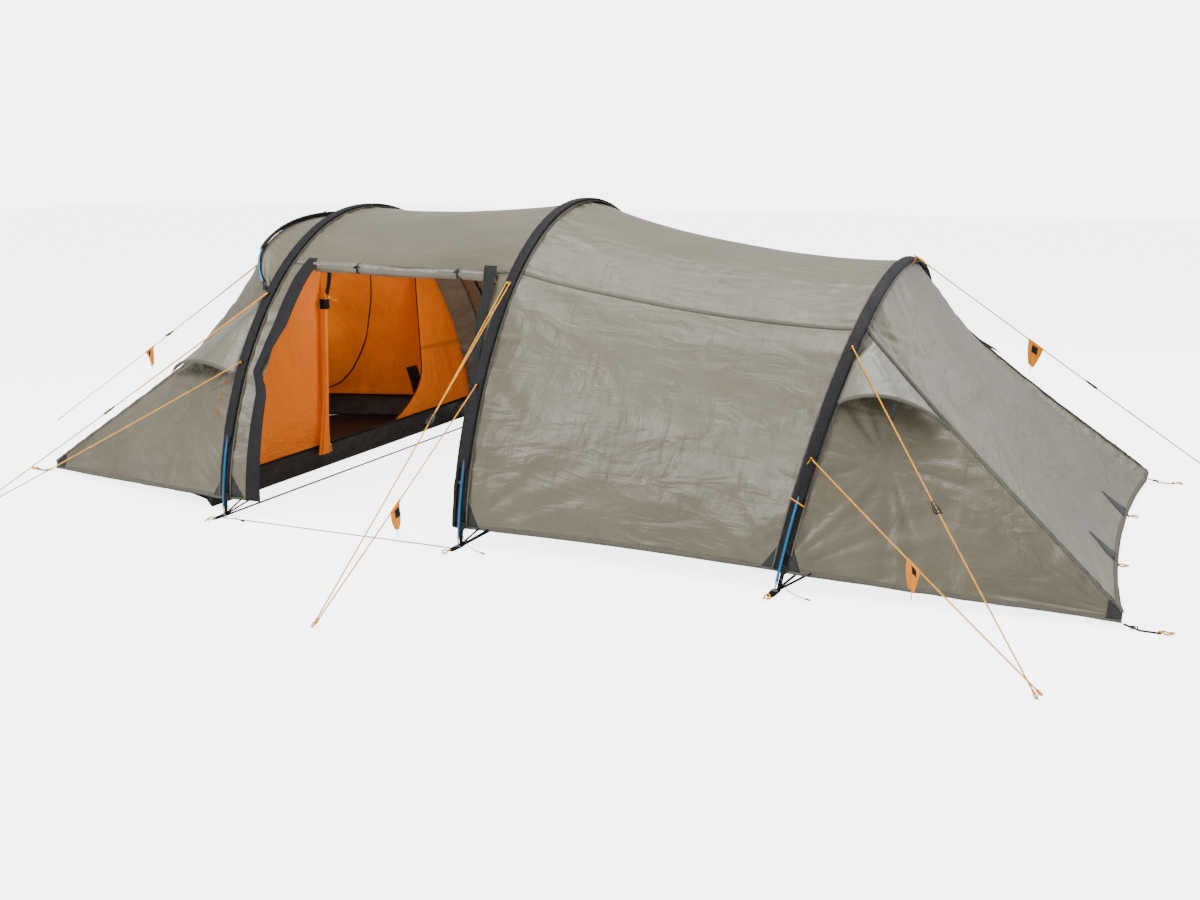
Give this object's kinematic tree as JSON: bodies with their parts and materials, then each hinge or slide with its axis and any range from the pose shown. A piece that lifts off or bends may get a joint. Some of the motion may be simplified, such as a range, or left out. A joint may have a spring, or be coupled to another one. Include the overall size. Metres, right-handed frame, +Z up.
{
  "type": "tunnel tent",
  "caption": "Pitched tunnel tent with pole arches in sleeves, a short brow arch, sloping apses, an open side door and an orange inner cabin.",
  "frame": {"origin": "on the ground under the crown of the middle arch", "axes": "+X along the tent to its rear end, -Y towards the open door side, +Z up"},
  "size_m": [7.102, 4.686, 1.4344],
  "materials": {
    "fly_fabric": "coated ripstop, faint sheen",
    "sleeve_fabric": "matt woven",
    "cabin_fabric": "thin breathable cloth",
    "tub_fabric": "coated",
    "webbing": "woven tape",
    "cord": "braided",
    "flag_fabric": "woven",
    "pole_aluminium": "anodised satin",
    "bare_metal": "satin",
    "black_plastic": "moulded"
  },
  "bodies": {
    "root": {"brow_roof": "fly_fabric", "cabin_door_bundle": "cabin_fabric", "far_guy_runners": "black_plastic", "foot_tabs": "webbing", "front_apse_far_side": "fly_fabric", "front_apse_near_side": "fly_fabric", "front_cabin_canopy": "cabin_fabric", "front_cabin_door_wall": "cabin_fabric", "front_cabin_floor": "tub_fabric", "front_cabin_tub_walls": "tub_fabric", "front_end_panel": "fly_fabric", "front_tunnel_far_side": "fly_fabric", "front_tunnel_near_side": "fly_fabric", "front_tunnel_roof": "fly_fabric", "ground_straps": "webbing", "guy_cords": "cord", "guy_flags": "flag_fabric", "near_door_edging": "webbing", "near_door_roll": "fly_fabric", "peg_loops": "cord", "pole_eyelets": "bare_metal", "rear_apse_far_side": "fly_fabric", "rear_apse_near_side": "fly_fabric", "rear_cabin_canopy": "cabin_fabric", "rear_cabin_floor": "tub_fabric", "rear_cabin_tub_walls": "tub_fabric", "rear_end_panel": "fly_fabric", "rear_tunnel_far_side": "fly_fabric", "rear_tunnel_near_side": "fly_fabric", "rear_tunnel_roof": "fly_fabric"},
    "front_hoop": {"front_pole_tubes": "pole_aluminium", "front_pole_ferrules": "bare_metal", "front_pole_tips": "bare_metal", "front_pole_sleeve": "sleeve_fabric", "brow_clips": "black_plastic"},
    "middle_hoop": {"middle_pole_tubes": "pole_aluminium", "middle_pole_ferrules": "bare_metal", "middle_pole_tips": "bare_metal", "middle_pole_sleeve": "sleeve_fabric"},
    "rear_hoop": {"rear_pole_tubes": "pole_aluminium", "rear_pole_ferrules": "bare_metal", "rear_pole_tips": "bare_metal", "rear_pole_sleeve": "sleeve_fabric"},
    "brow": {"brow_pole_tubes": "pole_aluminium", "brow_pole_sleeve": "sleeve_fabric", "brow_pole_eyes": "black_plastic"},
    "rear_near_vent": {"rear_near_vent_hood": "fly_fabric"},
    "rear_near_prop": {"rear_near_vent_prop": "black_plastic"},
    "rear_far_vent": {"rear_far_vent_hood": "fly_fabric"},
    "rear_far_prop": {"rear_far_vent_prop": "black_plastic"},
    "front_near_vent": {"front_near_vent_hood": "fly_fabric"},
    "front_near_prop": {"front_near_vent_prop": "black_plastic"},
    "front_far_vent": {"front_far_vent_hood": "fly_fabric"},
    "front_far_prop": {"front_far_vent_prop": "black_plastic"},
    "rear_runner": {"rear_guy_runner": "black_plastic"},
    "middle_runner": {"middle_guy_runner": "black_plastic"},
    "front_runner": {"front_guy_runner": "black_plastic"},
    "tail_runner": {"tail_guy_runner": "black_plastic"},
    "nose_runner": {"nose_guy_runner": "black_plastic"},
    "zip": {"cabin_zip_slider": "bare_metal"}
  },
  "joints": [
    {"name": "front_hoop_fold", "type": "hinge", "parent": "root", "child": "front_hoop", "pos_m": [-1.244, 0, 0.014], "axis": [0, 1, 0], "range_deg": [0, 83.5], "deforming": ["brow_roof", "cabin_door_bundle", "far_guy_runners", "front_apse_far_side", "front_apse_near_side", "front_cabin_canopy", "front_cabin_door_wall", "front_cabin_tub_walls", "front_end_panel", "front_tunnel_far_side", "front_tunnel_near_side", "front_tunnel_roof", "guy_cords", "guy_flags", "near_door_edging", "near_door_roll", "rear_apse_far_side", "rear_apse_near_side", "rear_cabin_canopy", "rear_cabin_tub_walls", "rear_end_panel", "rear_tunnel_far_side", "rear_tunnel_near_side", "rear_tunnel_roof", "rear_near_vent_hood", "rear_far_vent_hood", "front_near_vent_hood", "front_far_vent_hood", "rear_near_vent_prop", "rear_far_vent_prop", "front_near_vent_prop", "front_far_vent_prop", "cabin_zip_slider", "rear_guy_runner", "middle_guy_runner", "front_guy_runner", "tail_guy_runner", "nose_guy_runner"]},
    {"name": "middle_hoop_fold", "type": "hinge", "parent": "root", "child": "middle_hoop", "pos_m": [0, 0, 0.014], "axis": [0, 1, 0], "range_deg": [0, 82], "deforming": ["brow_roof", "cabin_door_bundle", "far_guy_runners", "front_apse_far_side", "front_apse_near_side", "front_cabin_canopy", "front_cabin_door_wall", "front_cabin_tub_walls", "front_end_panel", "front_tunnel_far_side", "front_tunnel_near_side", "front_tunnel_roof", "guy_cords", "guy_flags", "near_door_edging", "near_door_roll", "rear_apse_far_side", "rear_apse_near_side", "rear_cabin_canopy", "rear_cabin_tub_walls", "rear_end_panel", "rear_tunnel_far_side", "rear_tunnel_near_side", "rear_tunnel_roof", "rear_near_vent_hood", "rear_far_vent_hood", "front_near_vent_hood", "front_far_vent_hood", "rear_near_vent_prop", "rear_far_vent_prop", "front_near_vent_prop", "front_far_vent_prop", "cabin_zip_slider", "rear_guy_runner", "middle_guy_runner", "front_guy_runner", "tail_guy_runner", "nose_guy_runner"]},
    {"name": "rear_hoop_fold", "type": "hinge", "parent": "root", "child": "rear_hoop", "pos_m": [1.405, 0, 0.014], "axis": [0, 1, 0], "range_deg": [0, 72.8], "deforming": ["brow_roof", "cabin_door_bundle", "far_guy_runners", "front_apse_far_side", "front_apse_near_side", "front_cabin_canopy", "front_cabin_door_wall", "front_cabin_tub_walls", "front_end_panel", "front_tunnel_far_side", "front_tunnel_near_side", "front_tunnel_roof", "guy_cords", "guy_flags", "near_door_edging", "near_door_roll", "rear_apse_far_side", "rear_apse_near_side", "rear_cabin_canopy", "rear_cabin_tub_walls", "rear_end_panel", "rear_tunnel_far_side", "rear_tunnel_near_side", "rear_tunnel_roof", "rear_near_vent_hood", "rear_far_vent_hood", "front_near_vent_hood", "front_far_vent_hood", "rear_near_vent_prop", "rear_far_vent_prop", "front_near_vent_prop", "front_far_vent_prop", "cabin_zip_slider", "rear_guy_runner", "middle_guy_runner", "front_guy_runner", "tail_guy_runner", "nose_guy_runner"]},
    {"name": "brow_fold", "type": "hinge", "parent": "front_hoop", "child": "brow", "pos_m": [-1.312, 0, 1.013], "axis": [0, 1, 0], "range_deg": [0, 22], "deforming": ["brow_roof", "cabin_door_bundle", "far_guy_runners", "front_apse_far_side", "front_apse_near_side", "front_cabin_canopy", "front_cabin_door_wall", "front_cabin_tub_walls", "front_end_panel", "front_tunnel_far_side", "front_tunnel_near_side", "front_tunnel_roof", "guy_cords", "guy_flags", "near_door_edging", "near_door_roll", "rear_apse_far_side", "rear_apse_near_side", "rear_cabin_canopy", "rear_cabin_tub_walls", "rear_end_panel", "rear_tunnel_far_side", "rear_tunnel_near_side", "rear_tunnel_roof", "rear_near_vent_hood", "rear_far_vent_hood", "front_near_vent_hood", "front_far_vent_hood", "rear_near_vent_prop", "rear_far_vent_prop", "front_near_vent_prop", "front_far_vent_prop", "cabin_zip_slider", "rear_guy_runner", "middle_guy_runner", "front_guy_runner", "tail_guy_runner", "nose_guy_runner"]},
    {"name": "rear_near_vent_sink", "type": "hinge", "parent": "root", "child": "rear_near_vent", "pos_m": [1.405, -1.29, 0.05], "axis": [-0.9937, -0.1117, 0], "range_deg": [0, 60], "deforming": ["brow_roof", "cabin_door_bundle", "far_guy_runners", "front_apse_far_side", "front_apse_near_side", "front_cabin_canopy", "front_cabin_door_wall", "front_cabin_tub_walls", "front_end_panel", "front_tunnel_far_side", "front_tunnel_near_side", "front_tunnel_roof", "guy_cords", "guy_flags", "near_door_edging", "near_door_roll", "rear_apse_far_side", "rear_apse_near_side", "rear_cabin_canopy", "rear_cabin_tub_walls", "rear_end_panel", "rear_tunnel_far_side", "rear_tunnel_near_side", "rear_tunnel_roof", "rear_near_vent_hood", "rear_far_vent_hood", "front_near_vent_hood", "front_far_vent_hood", "rear_near_vent_prop", "rear_far_vent_prop", "front_near_vent_prop", "front_far_vent_prop", "cabin_zip_slider", "rear_guy_runner", "middle_guy_runner", "front_guy_runner", "tail_guy_runner", "nose_guy_runner"]},
    {"name": "rear_near_prop_fold", "type": "hinge", "parent": "rear_near_vent", "child": "rear_near_prop", "pos_m": [1.75244, -0.96548, 0.65052], "axis": [-1, 0, 0], "range_deg": [0, 42], "deforming": ["rear_near_vent_hood"]},
    {"name": "rear_far_vent_sink", "type": "hinge", "parent": "root", "child": "rear_far_vent", "pos_m": [1.405, 1.29, 0.05], "axis": [0.9937, -0.1117, 0], "range_deg": [0, 60], "deforming": ["brow_roof", "cabin_door_bundle", "far_guy_runners", "front_apse_far_side", "front_apse_near_side", "front_cabin_canopy", "front_cabin_door_wall", "front_cabin_tub_walls", "front_end_panel", "front_tunnel_far_side", "front_tunnel_near_side", "front_tunnel_roof", "guy_cords", "guy_flags", "near_door_edging", "near_door_roll", "rear_apse_far_side", "rear_apse_near_side", "rear_cabin_canopy", "rear_cabin_tub_walls", "rear_end_panel", "rear_tunnel_far_side", "rear_tunnel_near_side", "rear_tunnel_roof", "rear_near_vent_hood", "rear_far_vent_hood", "front_near_vent_hood", "front_far_vent_hood", "rear_near_vent_prop", "rear_far_vent_prop", "front_near_vent_prop", "front_far_vent_prop", "cabin_zip_slider", "rear_guy_runner", "middle_guy_runner", "front_guy_runner", "tail_guy_runner", "nose_guy_runner"]},
    {"name": "rear_far_prop_fold", "type": "hinge", "parent": "rear_far_vent", "child": "rear_far_prop", "pos_m": [1.75244, 0.96548, 0.65052], "axis": [1, 0, 0], "range_deg": [0, 42], "deforming": ["rear_far_vent_hood"]},
    {"name": "front_near_vent_sink", "type": "hinge", "parent": "root", "child": "front_near_vent", "pos_m": [-1.244, -1.315, 0.05], "axis": [-0.9751, 0.2216, 0], "range_deg": [0, 60], "deforming": ["brow_roof", "cabin_door_bundle", "far_guy_runners", "front_apse_far_side", "front_apse_near_side", "front_cabin_canopy", "front_cabin_door_wall", "front_cabin_tub_walls", "front_end_panel", "front_tunnel_far_side", "front_tunnel_near_side", "front_tunnel_roof", "guy_cords", "guy_flags", "near_door_edging", "near_door_roll", "rear_apse_far_side", "rear_apse_near_side", "rear_cabin_canopy", "rear_cabin_tub_walls", "rear_end_panel", "rear_tunnel_far_side", "rear_tunnel_near_side", "rear_tunnel_roof", "rear_near_vent_hood", "rear_far_vent_hood", "front_near_vent_hood", "front_far_vent_hood", "rear_near_vent_prop", "rear_far_vent_prop", "front_near_vent_prop", "front_far_vent_prop", "cabin_zip_slider", "rear_guy_runner", "middle_guy_runner", "front_guy_runner", "tail_guy_runner", "nose_guy_runner"]},
    {"name": "front_near_prop_fold", "type": "hinge", "parent": "front_near_vent", "child": "front_near_prop", "pos_m": [-1.57663, -1.04076, 0.61069], "axis": [-1, 0, 0], "range_deg": [0, 36], "deforming": ["front_near_vent_hood"]},
    {"name": "front_far_vent_sink", "type": "hinge", "parent": "root", "child": "front_far_vent", "pos_m": [-1.244, 1.315, 0.05], "axis": [0.9751, 0.2216, 0], "range_deg": [0, 60], "deforming": ["brow_roof", "cabin_door_bundle", "far_guy_runners", "front_apse_far_side", "front_apse_near_side", "front_cabin_canopy", "front_cabin_door_wall", "front_cabin_tub_walls", "front_end_panel", "front_tunnel_far_side", "front_tunnel_near_side", "front_tunnel_roof", "guy_cords", "guy_flags", "near_door_edging", "near_door_roll", "rear_apse_far_side", "rear_apse_near_side", "rear_cabin_canopy", "rear_cabin_tub_walls", "rear_end_panel", "rear_tunnel_far_side", "rear_tunnel_near_side", "rear_tunnel_roof", "rear_near_vent_hood", "rear_far_vent_hood", "front_near_vent_hood", "front_far_vent_hood", "rear_near_vent_prop", "rear_far_vent_prop", "front_near_vent_prop", "front_far_vent_prop", "cabin_zip_slider", "rear_guy_runner", "middle_guy_runner", "front_guy_runner", "tail_guy_runner", "nose_guy_runner"]},
    {"name": "front_far_prop_fold", "type": "hinge", "parent": "front_far_vent", "child": "front_far_prop", "pos_m": [-1.57663, 1.04076, 0.61069], "axis": [1, 0, 0], "range_deg": [0, 36], "deforming": ["front_far_vent_hood"]},
    {"name": "rear_runner_slide", "type": "slide", "parent": "root", "child": "rear_runner", "axis": [0.5283, -0.6606, -0.5333], "range_m": [-0.3, 0.3]},
    {"name": "middle_runner_slide", "type": "slide", "parent": "root", "child": "middle_runner", "axis": [0.009, -0.8166, -0.5771], "range_m": [-0.3, 0.35]},
    {"name": "front_runner_slide", "type": "slide", "parent": "root", "child": "front_runner", "axis": [-0.5703, -0.5988, -0.5624], "range_m": [-0.3, 0.35]},
    {"name": "tail_runner_slide", "type": "slide", "parent": "root", "child": "tail_runner", "axis": [0.832, 0, -0.5547], "range_m": [-0.35, 0.4]},
    {"name": "nose_runner_slide", "type": "slide", "parent": "root", "child": "nose_runner", "axis": [-0.8465, 0, -0.5323], "range_m": [-0.4, 0.4]},
    {"name": "cabin_zip_slide", "type": "slide", "parent": "root", "child": "zip", "axis": [0, 1, 0], "range_m": [0, 0.64]}
  ],
  "couplings": [
    {"joint": "front_hoop_fold", "follows": "middle_hoop_fold", "ratio": 1.0183},
    {"joint": "rear_hoop_fold", "follows": "middle_hoop_fold", "ratio": 0.8878},
    {"joint": "brow_fold", "follows": "middle_hoop_fold", "ratio": 0.26829},
    {"joint": "rear_near_vent_sink", "follows": "middle_hoop_fold", "ratio": 0.73171},
    {"joint": "rear_far_vent_sink", "follows": "middle_hoop_fold", "ratio": 0.73171},
    {"joint": "front_near_vent_sink", "follows": "middle_hoop_fold", "ratio": 0.73171},
    {"joint": "front_far_vent_sink", "follows": "middle_hoop_fold", "ratio": 0.73171}
  ]
}
